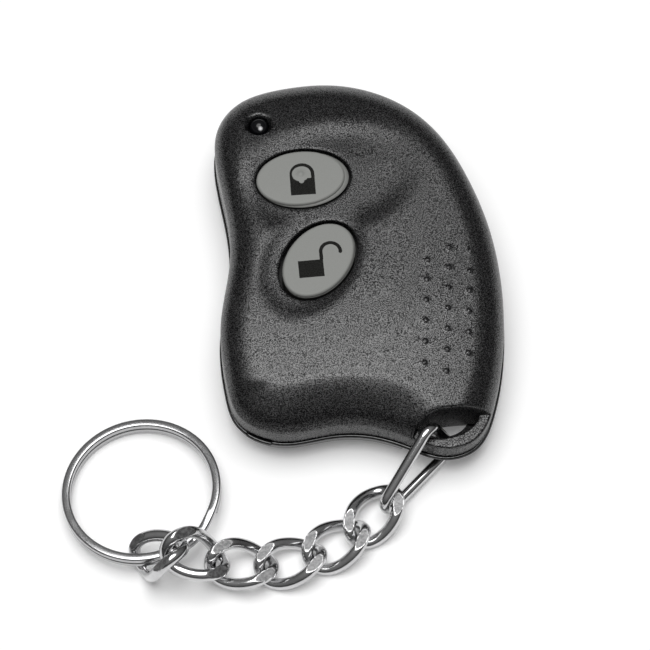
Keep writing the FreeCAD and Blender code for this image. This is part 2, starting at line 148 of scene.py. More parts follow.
def triangulate(lines, fill, inside, spacing):
    # a flat triangle mesh that follows every line; lines are (points, closed), and fill keeps off them
    points, edges = [], []
    for line, closed in lines:
        first, count = len(points), len(line)
        points += [tuple(p) for p in line]
        edges += [(first + i, first + (i + 1) % count) for i in range(count if closed else count - 1)]
    tree = kdtree.KDTree(len(points))
    for i, (x, y) in enumerate(points):
        tree.insert((x, y, 0), i)
    tree.balance()
    points += [(x, y) for x, y in fill if tree.find((x, y, 0))[2] > 0.55 * spacing]
    found = geometry.delaunay_2d_cdt([Vector(p) for p in points], edges, [], 0, 1e-5)
    flat = np.array([v[:] for v in found[0]])
    tris = np.array([f for f in found[2] if len(f) == 3])
    tris = tris[inside(flat[tris].mean(1))]
    used, tris = np.unique(tris, return_inverse=True)
    return flat[used], tris.reshape(-1, 3)


def honeycomb(low, high, spacing):
    rows = np.arange(low[1], high[1], spacing * 0.866)
    across = np.arange(low[0], high[0], spacing)
    return [(x + (i % 2) * spacing / 2, y) for i, y in enumerate(rows) for x in across]


def rims(tris):
    # loops of the edges that only one triangle has
    edges = set()
    for a, b, c in tris.tolist():
        edges |= {(a, b), (b, c), (c, a)}
    ahead = {a: b for a, b in edges if (b, a) not in edges}
    loops = []
    while ahead:
        start, at = next(iter(ahead.items()))
        loop = [start]
        del ahead[start]
        while at != start:
            loop.append(at)
            at = ahead.pop(at)
        loops.append(loop)
    return loops


def closedSkin(tris, outer, inner, rowsFor):
    # joins two skins of one layout along their rims; rowsFor gives the rows between them
    points = [outer, inner]
    faces = tris.tolist() + (tris[:, ::-1] + len(outer)).tolist()
    count = 2 * len(outer)
    for loop in rims(tris):
        loop = np.array(loop)
        previous = loop
        n = len(loop)
        for row in rowsFor(loop):
            points.append(row)
            here = np.arange(count, count + n)
            faces += [(previous[i], here[i], here[(i + 1) % n], previous[(i + 1) % n]) for i in range(n)]
            previous = here
            count += n
        last = loop + len(outer)
        faces += [(previous[i], last[i], last[(i + 1) % n], previous[(i + 1) % n]) for i in range(n)]
    return np.vstack(points), [[int(k) for k in f] for f in faces]


def loft(rows):
    # rows of equal length, one above the other, closed at both ends by a middle point
    n = len(rows[0])
    points = np.vstack([rows[0].mean(0)[None]] + list(rows) + [rows[-1].mean(0)[None]])
    faces = [(0, 1 + (i + 1) % n, 1 + i) for i in range(n)]
    for k in range(len(rows) - 1):
        a = 1 + k * n
        faces += [(a + i, a + (i + 1) % n, a + n + (i + 1) % n, a + n + i) for i in range(n)]
    last, a = len(points) - 1, 1 + (len(rows) - 1) * n
    return points, faces + [(a + i, a + (i + 1) % n, last) for i in range(n)]


def newMesh(name, points, faces):
    mesh = bpy.data.meshes.new(name)
    mesh.from_pydata((np.asarray(points, float) * mm).tolist(), [], faces)
    return mesh


def newPiece(name, mesh, body, material, replaces=(), crease=42):
    shape = bmesh.new()
    shape.from_mesh(mesh)
    bmesh.ops.recalc_face_normals(shape, faces=shape.faces)
    shape.to_mesh(mesh)
    shape.free()
    mesh.shade_smooth()
    mesh.set_sharp_from_angle(angle=np.radians(crease))
    mesh.materials.clear()
    mesh.materials.append(material)
    piece = bpy.data.objects.new(name, mesh)
    scene.collection.objects.link(piece)
    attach(piece, body)
    if replaces:
        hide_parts(*replaces)
    return piece


def newMaterial(name, colour, roughness, metallic=0.0):
    material = bpy.data.materials.new(name)
    material.use_nodes = True
    shader = material.node_tree.nodes["Principled BSDF"]
    shader.inputs["Base Color"].default_value = (*colour, 1)
    shader.inputs["Roughness"].default_value = roughness
    shader.inputs["Metallic"].default_value = metallic
    place = material.node_tree.nodes.new("ShaderNodeTexCoord")
    return material, shader, place.outputs["Object"]


def noiseOf(material, place, scale, detail=2.0, rough=0.5):
    node = material.node_tree.nodes.new("ShaderNodeTexNoise")
    node.inputs["Scale"].default_value = scale
    node.inputs["Detail"].default_value = detail
    node.inputs["Roughness"].default_value = rough
    material.node_tree.links.new(place, node.inputs["Vector"])
    return node.outputs["Fac"]


def spread(material, value, low, high, start=0.3, end=0.7):
    # turns a noise into a number between low and high
    node = material.node_tree.nodes.new("ShaderNodeMapRange")
    for socket, number in zip(node.inputs[1:5], (start, end, low, high)):
        socket.default_value = number
    material.node_tree.links.new(value, node.inputs[0])
    return node.outputs[0]


def tint(material, value, first, second, start=0.3, end=0.7):
    ramp = material.node_tree.nodes.new("ShaderNodeValToRGB")
    ramp.color_ramp.elements[0].position = start
    ramp.color_ramp.elements[1].position = end
    ramp.color_ramp.elements[0].color = (*first, 1)
    ramp.color_ramp.elements[1].color = (*second, 1)
    material.node_tree.links.new(value, ramp.inputs[0])
    return ramp.outputs[0]


def bumpFrom(material, shader, value, height):
    node = material.node_tree.nodes.new("ShaderNodeBump")
    node.inputs["Distance"].default_value = height
    node.inputs["Strength"].default_value = 1.0
    material.node_tree.links.new(value, node.inputs["Height"])
    material.node_tree.links.new(node.outputs[0], shader.inputs["Normal"])


def plasticLook(name, dark, grainAndGlint, roughness, grain, grainHeight, shine=0.5, cover=0.5, sparkle=(0.2, 2.4)):
    # moulded plastic: a grain that glints unevenly, with lighter specks where the noise is above cover; the
    # specks are partly grain tone and partly painted glints
    material, shader, place = newMaterial(name, dark, sum(roughness) / 2)
    link = material.node_tree.links.new
    fine = noiseOf(material, place, grain, 1, 0.5)
    gloss = noiseOf(material, place, grain * 0.8, 2)
    glint = spread(material, gloss, shine * sparkle[0], shine * sparkle[1], 0.4, 0.61)
    link(glint, shader.inputs["Specular IOR Level"])
    # painted glints and grain tone: lighter specks in the colour where the noise is above cover
    link(tint(material, fine, dark, grainAndGlint, cover, cover + 0.14), shader.inputs["Base Color"])
    link(spread(material, gloss, *roughness), shader.inputs["Roughness"])
    bumpFrom(material, shader, fine, grainHeight)
    return material


def heightIn(material, place, low, high, start, end):
    # a number that follows the height in the object, in metres
    split = material.node_tree.nodes.new("ShaderNodeSeparateXYZ")
    material.node_tree.links.new(place, split.inputs[0])
    return spread(material, split.outputs[2], low, high, start, end)


# the caps' rubber tones, and the painted shade low down in the gap with the heights over which it fades
capTones = {
    "plain": (0.222, 0.227, 0.213), "pale": (0.243, 0.247, 0.236), "paintedShade": (0.014, 0.014, 0.013),
    "shadeUpTo": 0.01245, "unshadedFrom": 0.01272,      # heights in metres
}


def capLook():
    # pale rubber of the buttons, with painted shade that turns them dark down in the gap
    material, shader, place = newMaterial("button_grey", capTones["plain"], 0.56)
    link = material.node_tree.links.new
    fine = noiseOf(material, place, 9000, 2)
    grainTone = tint(material, fine, capTones["plain"], capTones["pale"])
    # painted shade: below a height the caps take a near-black colour, standing for the shade in the gap
    mix = material.node_tree.nodes.new("ShaderNodeMix")
    mix.data_type = "RGBA"
    link(heightIn(material, place, 0, 1, capTones["shadeUpTo"], capTones["unshadedFrom"]), mix.inputs[0])
    mix.inputs[6].default_value = (*capTones["paintedShade"], 1)
    link(grainTone, mix.inputs[7])
    link(mix.outputs[2], shader.inputs["Base Color"])
    bumpFrom(material, shader, fine, 0.000006)
    return material


# the smoky lens, and the painted highlight in it: its colour, middle and soft edge
lensTones = {
    "smoke": (0.004, 0.004, 0.005), "chip": (0.8, 0.8, 0.81),
    "chipAt": (-0.01573, 0.02083, 0.01265), "chipInner": 0.00016, "chipOuter": 0.00042,      # metres
}


def lampLook():
    # smoky lens with a painted highlight: one small pale spot stands for the light gathered inside the dome
    material, shader, place = newMaterial("lamp_dark", lensTones["smoke"], 0.08)
    shader.inputs["Specular IOR Level"].default_value = 0.3
    link = material.node_tree.links.new
    # painted highlight: the lens colour turns pale within a small ball near one side of the dome
    away = material.node_tree.nodes.new("ShaderNodeVectorMath")
    away.operation = "DISTANCE"
    link(place, away.inputs[0])
    away.inputs[1].default_value = lensTones["chipAt"]
    glintSpot = spread(material, away.outputs["Value"], 1, 0, lensTones["chipInner"], lensTones["chipOuter"])
    link(tint(material, glintSpot, lensTones["smoke"], lensTones["chip"], 0.0, 1.0), shader.inputs["Base Color"])
    bumpFrom(material, shader, noiseOf(material, place, 1500), 0.000001)
    return material


def metalLook(name, colour, roughness, scratchScale, bump, ground=None):
    # plated metal: faint clouding of the gloss, hairline wear; the ground flats are duller
    material, shader, place = newMaterial(name, colour, roughness[0], 1.0)
    link = material.node_tree.links.new
    cloud = noiseOf(material, place, 700, 3)
    gloss = spread(material, cloud, *roughness)
    shade = tint(material, cloud, colour, [c * 0.86 for c in colour])
    if ground:
        flats = material.node_tree.nodes.new("ShaderNodeAttribute")
        flats.attribute_name = "ground"
        coarse = noiseOf(material, place, 2400, 4, 0.7)
        mixGloss = material.node_tree.nodes.new("ShaderNodeMix")
        mixShade = material.node_tree.nodes.new("ShaderNodeMix")
        mixShade.data_type = "RGBA"
        for node in (mixGloss, mixShade):
            link(flats.outputs["Fac"], node.inputs[0])
        link(gloss, mixGloss.inputs[2])
        link(spread(material, coarse, *ground), mixGloss.inputs[3])
        link(shade, mixShade.inputs[6])
        cut, raised = [c * 0.2 for c in colour], [c * 0.44 for c in colour]
        link(tint(material, coarse, cut, raised, 0.4, 0.62), mixShade.inputs[7])
        gloss, shade = mixGloss.outputs[0], mixShade.outputs[2]
    link(gloss, shader.inputs["Roughness"])
    link(shade, shader.inputs["Base Color"])
    bumpFrom(material, shader, noiseOf(material, place, scratchScale, 4, 0.65), bump)
    return material


looks = {
    "case_black": plasticLook("case_black", (0.0015, 0.0015, 0.0018), (0.1, 0.1, 0.101),
                              (0.12, 0.4), 7400, 0.000036, 0.44, 0.6, (0.1, 2.9)),
    "case_smooth": plasticLook("case_smooth", (0.003, 0.003, 0.0035), (0.02, 0.02, 0.0205),
                               (0.1, 0.16), 4300, 0.000004, 0.7, 0.56, (0.8, 1.3)),
    "button_grey": capLook(),
    "print_black": plasticLook("print_black", (0.007, 0.007, 0.006), (0.011, 0.011, 0.01),
                               (0.6, 0.7), 9000, 0.000005, 0.1),
    "lamp_dark": lampLook(),
    "chain_chrome": metalLook("chain_chrome", (0.62, 0.62, 0.625), (0.11, 0.17), 2600, 0.000004, (0.4, 0.6)),
    "ring_chrome": metalLook("ring_chrome", (0.46, 0.46, 0.465), (0.13, 0.19), 2600, 0.000003),
    "board_green": plasticLook("board_green", (0.01, 0.07, 0.025), (0.02, 0.12, 0.045),
                               (0.3, 0.4), 1600, 0.00001),
    "cell_wrap": plasticLook("cell_wrap", (0.1, 0.11, 0.13), (0.16, 0.17, 0.2),
                             (0.25, 0.38), 900, 0.000008),
    "contact_steel": metalLook("contact_steel", (0.62, 0.6, 0.56), (0.22, 0.34), 1800, 0.00001),
    "chip_black": plasticLook("chip_black", (0.018, 0.018, 0.02), (0.035, 0.035, 0.037),
                              (0.5, 0.62), 4000, 0.00001),
    "can_steel": metalLook("can_steel", (0.66, 0.66, 0.65), (0.2, 0.3), 1800, 0.000008),
    "switch_black": plasticLook("switch_black", (0.014, 0.014, 0.014), (0.03, 0.03, 0.03),
                                (0.4, 0.5), 4000, 0.00001),
    "plunger_brown": plasticLook("plunger_brown", (0.05, 0.025, 0.012), (0.08, 0.04, 0.02),
                                 (0.35, 0.45), 4000, 0.00001),
}
print("materials made:", len(looks))


caseForm = {
    "outline": [
        (-15.8, -29.0), (-11.5, -29.9), (-5.0, -28.8), (1.0, -28.7), (7.0, -30.5), (12.4, -32.2),
        (17.2, -30.6), (20.1, -25.2), (21.9, -15.0), (21.8, -4.0), (20.1, 5.5), (16.7, 14.6),
        (11.6, 23.3), (4.5, 29.6), (-4.0, 32.4), (-12.5, 31.5), (-19.7, 28.1), (-23.0, 22.5),
        (-23.0, 15.5), (-21.2, 6.5), (-20.6, -1.5), (-21.8, -12.0), (-20.9, -21.5), (-18.9, -26.8),
    ],
    "parting": 4.8, "groove": 0.42, "crown": 13.6, "shoulder": 1.5, "draft": 0.35, "wall": 1.3, "floor": 1.5,
    # past a line the crown falls with the square of the way: where it starts, its slant if any, how much
    "backFall": (13.0, 0.0095), "sideFall": (4.2, 0.12, 0.0045), "frontFall": (-6.0, 0.0032),
    # how far in from the edge a slope reaches, how far it falls, how hollow its curve is
    "broadShoulder": (5.2, 2.5, 2.0), "frontShoulder": (6.5, 3.2, 1.3),
    # the front slope takes over in front of y and left of x, within the depth and the width
    "frontZone": {"y": -22, "depth": 5, "x": 13, "width": 9},
    # ovals are x, y, half length, half width and turn
    "hollowDepth": 0.74,
    "hollows": [(-7.5, -2.6, 9.9, 6.7, 62), (-5.0, 11.7, 13.2, 9.1, 14)],
    "openings": [(-9.0, 11.7, 7.45, 5.35, 7.6), (-6.6, -2.7, 7.45, 5.35, 57)],
    "openingRound": 0.3,
    "lamp": (-16.0, 21.6), "lampBore": 1.62, "lampCone": 2.3, "coneSlope": 1.25,
    # x and y of the first dot of a row, and how many
    "gripRows": [(10.0, -2.95, 6), (13.4, -0.75, 7), (16.6, -1.15, 6)],
    "gripStep": (-0.14, -3.42), "gripRadius": 0.52, "gripHeight": 0.2,
    "stepLine": [(6.6, -34.0), (7.3, -30.7), (8.4, -28.8), (10.4, -27.5),
                 (13.2, -26.8), (17.0, -26.4), (26.0, -26.2)],
    "stepGuide": (-0.55, 0.9),                   # the step line is moved back along this direction
    "stepLean": 0.07, "stepEdge": 0.35, "stepFillet": 0.25,
    "bridge": 7.9, "bridgeInset": 0.25, "bridgeRound": 0.45,
    "thinBack": 1.4,                             # from here on the wall's inner side is that of the bridge
    "slot": (12.9, -27.3, 4.7, 2.7, 18), "slotRound": 0.3,
    "notch": (-15.9, -29.3, 2.1), "notchHeight": 0.35,
    "wallFoot": 4.9, "wallInset": 0.33,          # where the wall of the upper half ends, and how far in
    "footRows": [(0.36, 0.03), (0.43, 0), (1.5, 0)],        # in, and up from the parting
    "backRound": 3.2, "undercut": 3.4, "stepBack": 1.9, "slotBelow": (12.5, -26.2, 5.4, 3.7, 16),
    "lowerStepEdge": 0.3, "innerInset": 2.6, "innerRound": 1.9,
    "solidBack": 3.4,                            # from here on the lower half is solid up to its rim
    "lowerInset": 0.02, "lowerMiddle": 0.14,
    "rimRows": [(0, 0.36), (0.03, 0.22), (0.1, 0.1), (0.2, 0.03), (0.34, 0), (1.6, 0)],     # in, and down
    "lipTop": 5.95, "lipRows": [1.9, 2.4], "lipMiddle": 2, "lipClear": 0.5,
    "stations": 720, "spacing": 0.45, "lowerSpacing": 0.9, "ringClear": 0.2, "field": ((-23, -33), (23, 33)),
}
form = caseForm      # a short name for the sizes that the case uses all through
outline, inwards = closedSpline(form["outline"], form["stations"])
stepLine = openSpline(form["stepLine"], 240)
stepGuide = np.array(form["stepGuide"])
stepLean = form["stepLean"]
nearSlot, nearStep = 0.02, 0.002      # how close to a line a point counts as on it


def shoulderInset(radius, angle):
    return form["draft"] + radius * (1 - np.cos(np.radians(angle)))


def shoulderRings(radius, angles):
    return [(outline + inwards * shoulderInset(radius, a), True) for a in angles]


def beyondStep(points, back=0.0):
    # positive past the step at the chain corner
    gap, foot, side = nearest(stepLine + stepGuide * back, points, False)
    return -gap * side


def stepRings(back, offsets):
    line = stepLine + stepGuide * back
    along = np.gradient(line, axis=0)
    along /= np.linalg.norm(along, axis=1)[:, None]
    return [(line + np.c_[along[:, 1], -along[:, 0]] * o, False) for o in offsets]


def crownLevel(x, y):
    backFrom, backFall = form["backFall"]
    sideFrom, sideSlant, sideFall = form["sideFall"]
    frontFrom, frontFall = form["frontFall"]
    back = np.maximum(0, y - backFrom)
    side = np.maximum(0, x - sideFrom - sideSlant * y)
    front = np.maximum(0, frontFrom - y)
    return form["crown"] - backFall * back ** 2 - sideFall * side ** 2 - frontFall * front ** 2


def hollowLevel(points):
    # how deep the hollow round the buttons is: a level floor with soft sides
    left = 1.0
    for oval in form["hollows"]:
        x, y, a, b, turn = oval
        c, s = np.cos(np.radians(turn)), np.sin(np.radians(turn))
        dx, dy = points[:, 0] - x, points[:, 1] - y
        q = ((dx * c + dy * s) / a) ** 2 + ((dy * c - dx * s) / b) ** 2
        left = left * (1 - np.exp(-q ** 4))
    return form["hollowDepth"] * (1 - left)


gripDots = [(x + form["gripStep"][0] * i, y + form["gripStep"][1] * i)
            for x, y, count in form["gripRows"] for i in range(count)]


def turnOf(gap, radius):
    # how far round a shoulder a point is, as an angle
    return np.arccos(np.clip(1 - (gap - form["draft"]) / radius, 0, 1))


def eased(t):
    t = np.clip(t, 0, 1)
    return t * t * (3 - 2 * t)


def broadShoulder(gap, foot):
    zone = form["frontZone"]
    front = eased((zone["y"] - foot[:, 1]) / zone["depth"]) * eased((zone["x"] - foot[:, 0]) / zone["width"])
    reach, fall, power = (a + (b - a) * front for a, b in zip(form["broadShoulder"], form["frontShoulder"]))
    return fall * np.maximum(0, 1 - gap / reach) ** power


def topSkin(points):
    gap, foot, side = nearest(outline, points, True)
    turn = turnOf(gap, form["shoulder"])
    crown = crownLevel(points[:, 0], points[:, 1]) - broadShoulder(gap, foot)
    hollow = hollowLevel(points)
    upper = crown - form["shoulder"] * (1 - np.sin(turn)) - hollow
    past = beyondStep(points)
    for oval in form["openings"]:
        upper = upper - rounded(ovalGap(oval, points), form["openingRound"])
    lampGap = np.hypot(points[:, 0] - form["lamp"][0], points[:, 1] - form["lamp"][1])
    cone = crownLevel(*form["lamp"]) - (form["lampCone"] - lampGap) * form["coneSlope"]
    upper = np.where(lampGap < form["lampCone"], np.minimum(upper, cone), upper)
    for x, y in gripDots:
        near = np.clip(np.hypot(points[:, 0] - x, points[:, 1] - y) / form["gripRadius"], 0, 1)
        upper = upper + form["gripHeight"] * (1 - near ** 2) ** 1.5
    slotGap = ovalGap(form["slot"], points)
    bridge = (form["bridge"] - rounded(gap - form["bridgeInset"], form["bridgeRound"])
              - rounded(slotGap, form["slotRound"]))
    share = np.clip(past / stepLean, 0, 1)
    level = (upper - rounded(-past, form["stepEdge"])) * (1 - share) + bridge * share
    fillet = form["stepFillet"]
    left = fillet - np.clip(past - stepLean, 0, fillet)
    risen = fillet - np.sqrt(np.maximum(0, fillet ** 2 - left ** 2))
    level = np.where(past > stepLean, bridge + risen, level)
    # the inner side of the same wall
    innerR = form["shoulder"] - form["wall"]
    insetIn = form["draft"] + form["wall"] + innerR * (1 - np.cos(turn))
    inPlace = foot + (points - foot) / gap[:, None] * np.maximum(insetIn, gap)[:, None]
    under = crown - form["shoulder"] + innerR * np.sin(turn) - hollow
    under = np.where(beyondStep(points, form["thinBack"]) > 0, form["bridge"] - form["wall"], under)
    onSlot = (np.abs(slotGap) < nearSlot) & (past > 0)
    onStep = (np.abs(past - stepLean) < nearStep) & (slotGap < 0)
    under = np.where(onSlot | onStep, form["parting"], under)
    return np.c_[points, level], np.c_[inPlace, under], gap, foot


# The lines that the mesh follows: degrees round a shoulder, and millimetres across a step or out from a rim
ringAngles = (4, 8, 13, 19, 26, 33, 41, 50, 60, 72, 90)
topStepRows = [-form["stepEdge"], -0.2, -0.1, -0.03, 0]
topStepRows += [stepLean + o for o in (0, 0.05, 0.14, form["stepFillet"])]
openingRows = (0, 0.02, 0.08, 0.17, form["openingRound"])
slotRows = (0, 0.03, 0.1, form["slotRound"])
lampRows = [form["lampBore"], 1.9] + [form["lampCone"] + o for o in (-0.04, 0.04, 0.2)]
dotShares = (0.25, 0.5, 0.75, 0.9, 1.0)
lines = shoulderRings(form["shoulder"], ringAngles)
lines += stepRings(0, topStepRows)
for oval in form["openings"]:
    lines += [(ovalRing(oval, g, 150), True) for g in openingRows]
lines += [(ovalRing(form["slot"], g, 120), True) for g in slotRows]
for r in lampRows:
    lines.append((ovalRing((*form["lamp"], r, r, 0), 0, 64), True))
for x, y in gripDots:
    for share in dotShares:
        r = form["gripRadius"] * share
        lines.append((ovalRing((x, y, r, r, 0), 0, 20), True))


def inTop(points):
    gap, foot, side = nearest(outline, points, True)
    keep = (side > 0) & (gap > shoulderInset(form["shoulder"], ringAngles[0]))
    for oval in form["openings"] + [(*form["lamp"], form["lampBore"], form["lampBore"], 0)]:
        keep &= ovalGap(oval, points) > 0
    return keep & ~((ovalGap(form["slot"], points) < 0) & (beyondStep(points) > stepLean))


def fillPoints(radius, spacing):
    # points of the flat part, clear of the rings round the shoulder
    grid = np.array(honeycomb(*form["field"], spacing))
    gap, foot, side = nearest(outline, grid, True)
    return grid[(side > 0) & (gap > form["draft"] + radius + form["ringClear"])]


fill = fillPoints(form["shoulder"], form["spacing"])
flat, tris = triangulate(lines, fill, inTop, form["spacing"])
outer, inner, gap, foot = topSkin(flat)


def aroundCase(loop):
    # whether a rim is that of the case, and not of an opening, which closes straight down
    return len(loop) >= form["stations"] - 50


def notchShare(points):
    x, y, half = form["notch"]
    return (np.hypot(points[:, 0] - x, points[:, 1] - y) < half).astype(float)


def topRows(loop):
    if not aroundCase(loop):
        return []
    out = (flat[loop] - foot[loop]) / gap[loop][:, None]
    start = outer[loop][:, 2]
    lift = form["notchHeight"] * notchShare(foot[loop])
    wallFoot = form["wallFoot"]
    rows = []
    for share in (0.75, 0.5, 0.25, 0):
        level = wallFoot + lift + (start - wallFoot - lift) * share
        inset = gap[loop] * share + form["wallInset"] * (1 - share)
        rows.append(np.c_[foot[loop] + out * inset[:, None], level])
    for inset, up in form["footRows"]:
        rows.append(np.c_[foot[loop] + out * inset, form["parting"] + up + lift])
    return rows


points, faces = closedSkin(tris, outer, inner, topRows)
mesh = newMesh("case_top", points, faces)
newPiece("case_top", mesh, "case", looks["case_black"], ["top_shell"])
print("case top:", len(faces), "faces")


def lowerSkin(points):
    gap, foot, side = nearest(outline, points, True)
    turn = turnOf(gap, form["backRound"])
    level = form["backRound"] * (1 - np.sin(turn))
    past = beyondStep(points, form["stepBack"])
    boss = form["undercut"] + rounded(ovalGap(form["slotBelow"], points), form["slotRound"])
    raised = np.maximum(level, boss)
    share = np.clip(past / stepLean, 0, 1)
    level = (level + rounded(-past, form["lowerStepEdge"])) * (1 - share) + raised * share
    insetIn = form["innerInset"] + form["innerRound"] * (1 - np.cos(turn))
    inPlace = foot + (points - foot) / gap[:, None] * np.maximum(insetIn, gap)[:, None]
    above = form["backRound"] - (form["backRound"] - form["floor"]) * np.sin(turn)
    rimZ = form["parting"] - form["groove"]
    above = np.where(beyondStep(points, form["solidBack"]) > 0, rimZ, above)
    return np.c_[points, level], np.c_[inPlace, above], gap, foot


lowerStepRows = (-form["lowerStepEdge"], -0.17, -0.08, -0.02, 0, stepLean)
lines = shoulderRings(form["backRound"], ringAngles)
lines += stepRings(form["stepBack"], lowerStepRows)
lines += [(ovalRing(form["slotBelow"], g, 120), True) for g in slotRows]


def inLower(points):
    gap, foot, side = nearest(outline, points, True)
    keep = (side > 0) & (gap > shoulderInset(form["backRound"], ringAngles[0]))
    inSlot = ovalGap(form["slotBelow"], points) < 0
    return keep & ~(inSlot & (beyondStep(points, form["stepBack"]) > stepLean))


fill = fillPoints(form["backRound"], form["lowerSpacing"])
flat, tris = triangulate(lines, fill, inLower, form["lowerSpacing"])
outer, inner, gap, foot = lowerSkin(flat)


def lowerRows(loop):
    if not aroundCase(loop):
        return []
    out = (flat[loop] - foot[loop]) / gap[loop][:, None]
    start = outer[loop][:, 2]
    rimZ = form["parting"] - form["groove"] - form["notchHeight"] * notchShare(foot[loop])
    beforeStep = beyondStep(foot[loop] + out * form["lipMiddle"], form["stepBack"]) < -form["lipClear"]
    lip = np.where(beforeStep, form["lipTop"], rimZ)      # there is no lip in the chain corner
    rows = [np.c_[foot[loop] + out * form["lowerMiddle"], (start + rimZ) / 2]]
    edge = [(inset, rimZ - down) for inset, down in form["rimRows"]]
    edge += [(inset, lip) for inset in form["lipRows"]]
    for inset, level in edge:
        rows.append(np.c_[foot[loop] + out * (inset + form["lowerInset"]), level])
    return rows


points, faces = closedSkin(tris, outer, inner, lowerRows)
mesh = newMesh("case_base", points, faces)
newPiece("case_base", mesh, "case", looks["case_smooth"], ["bottom_shell"])
print("case base:", len(faces), "faces")


buttonForm = {
    "lock": (-9.4, 11.7, 7.6), "unlock": (-6.6, -2.7, 57.0),       # middle and turn
    "a": 6.9, "b": 4.8, "top": 13.2, "edge": 0.42, "dome": 0.08,
    # a low skirt round the cap: where its middle is from the cap's, and how much wider it is
    "skirt": {"lock": (0.42, -0.1, 0.22), "unlock": (0.08, 0, 0.1)},
    "skirtTop": 12.6, "skirtSide": 0.6,
    "skirtRows": [(0.5, 0), (0.1, 0), (0.02, 0.03), (0, 0.1)],       # down, and in
    "taper": 0.1, "flangeTop": 10.4, "flange": 1.2, "flangeThick": 0.8,
    "nub": 1.6, "nubMiddle": 0.9, "nubFoot": 8.97,
    "bead": (-9.4, 12.26), "beadRows": [(1.2, 0), (0.62, 0), (0.5, 0.05), (0.34, 0.13), (0.15, 0.17)],
    "around": 96,
}


def buttonLevel(u):
    # u runs from 0 in the middle to 1 at the rim of the top
    return buttonForm["top"] - buttonForm["dome"] * u ** 2


def buttonMesh(kind):
    f = buttonForm
    n = f["around"]
    x, y, turn = f[kind]
    right, back, wider = f["skirt"][kind]

    def row(a, b, z):
        ring = ovalRing((x, y, a, b, turn), 0, n)
        return np.c_[ring, np.full(n, z)]

    low = f["flangeTop"] - f["flangeThick"]
    footA, footB = f["a"] + f["taper"], f["b"] + f["taper"]
    nub = ((f["nubMiddle"], f["nubFoot"]), (f["nub"], f["nubFoot"]), (f["nub"], low))
    rows = [row(r, r, z) for r, z in nub]
    for z, grow in ((low, 0), (f["flangeTop"], 0), (f["flangeTop"], -f["flange"])):
        rows.append(row(footA + f["flange"] + grow, footB + f["flange"] + grow, z))
    rimZ = buttonLevel(1) - f["edge"]
    for drop, inset in f["skirtRows"]:
        skirt = row(f["a"] + wider - inset, f["b"] + wider * f["skirtSide"] - inset, f["skirtTop"] - drop)
        rows.append(skirt + (right, back, 0))
    for t in np.linspace(0, 90, 8):
        inset = f["edge"] * (1 - np.cos(np.radians(t)))
        rows.append(row(f["a"] - inset, f["b"] - inset, rimZ + f["edge"] * np.sin(np.radians(t))))
    topA, topB = f["a"] - f["edge"], f["b"] - f["edge"]
    for u in (0.93, 0.8, 0.65, 0.5):
        rows.append(row(topA * u, topB * u, buttonLevel(u)))
    if kind == "lock":
        for r, rise in f["beadRows"]:
            ring = ovalRing((*f["bead"], r, r, turn), 0, n)
            rows.append(np.c_[ring, np.full(n, f["top"] + rise)])
    else:
        rows += [row(topA * u, topB * u, buttonLevel(u)) for u in (0.3, 0.1)]
    points, faces = loft(rows)
    return newMesh(kind + "_cap", points, faces)


def arcPoints(x, y, r, start, end, count=40):
    t = np.radians(np.linspace(start, end, count))
    return np.c_[x + r * np.cos(t), y + r * np.sin(t)]


for kind in ("lock", "unlock"):
    body = kind + "_button"
    newPiece(kind + "_cap", buttonMesh(kind), body, looks["button_grey"], [body])

inkForm = {
    "lock": (-8.92, 8.59, 4.0), "unlock": (-7.55, -5.84, 5.5),      # foot of a padlock, and its turn
    "above": 0.02, "below": 0.03, "field": ((-3, -1), (6, 6.5)), "spacing": 0.3,
}


def inkPiece(kind, lines, inside):
    # a thin film of ink that lies on the button
    x, y, turn = inkForm[kind]
    fill = honeycomb(*inkForm["field"], inkForm["spacing"])
    flat, tris = triangulate(lines, fill, inside, inkForm["spacing"])
    c, s = np.cos(np.radians(turn)), np.sin(np.radians(turn))
    flat = flat @ np.array([[c, s], [-s, c]]) + (x, y)
    cx, cy, tilt = buttonForm[kind]
    topA, topB = buttonForm["a"] - buttonForm["edge"], buttonForm["b"] - buttonForm["edge"]
    dx, dy = flat[:, 0] - cx, flat[:, 1] - cy
    ct, st = np.cos(np.radians(tilt)), np.sin(np.radians(tilt))
    level = buttonLevel(np.hypot((dx * ct + dy * st) / topA, (dy * ct - dx * st) / topB))
    upper, under = np.c_[flat, level + inkForm["above"]], np.c_[flat, level - inkForm["below"]]
    points, faces = closedSkin(tris, upper, under, lambda loop: [])
    mesh = newMesh(kind + "_print", points, faces)
    newPiece(kind + "_print", mesh, kind + "_button", looks["print_black"])


padlock = {
    "width": 3.84, "height": 2.9, "stroke": 0.54, "arch": 3.69, "overlap": 0.01,
    "bare": (-0.24, 3.7, 1.32), "drip": (-0.15, 2.45, 0.42),       # round spots without ink: x, y, radius
}
half = padlock["width"] / 2
shackleFrom = padlock["height"] - padlock["overlap"]
bodyBox = np.array([(-half, 0), (half, 0), (half, padlock["height"]), (-half, padlock["height"])])


def inBody(p):
    return (np.abs(p[:, 0]) < half) & (p[:, 1] > 0) & (p[:, 1] < padlock["height"])


def inLocked(p):
    thin = half - padlock["stroke"]
    reach = np.where(p[:, 1] > padlock["arch"], np.hypot(p[:, 0], p[:, 1] - padlock["arch"]), np.abs(p[:, 0]))
    shackle = (p[:, 1] > shackleFrom) & (reach < half) & (reach > thin)
    inked = inBody(p) | shackle
    for x, y, r in (padlock["bare"], padlock["drip"]):
        inked &= ovalGap((x, y, r, r, 0), p) >= 0
    return inked


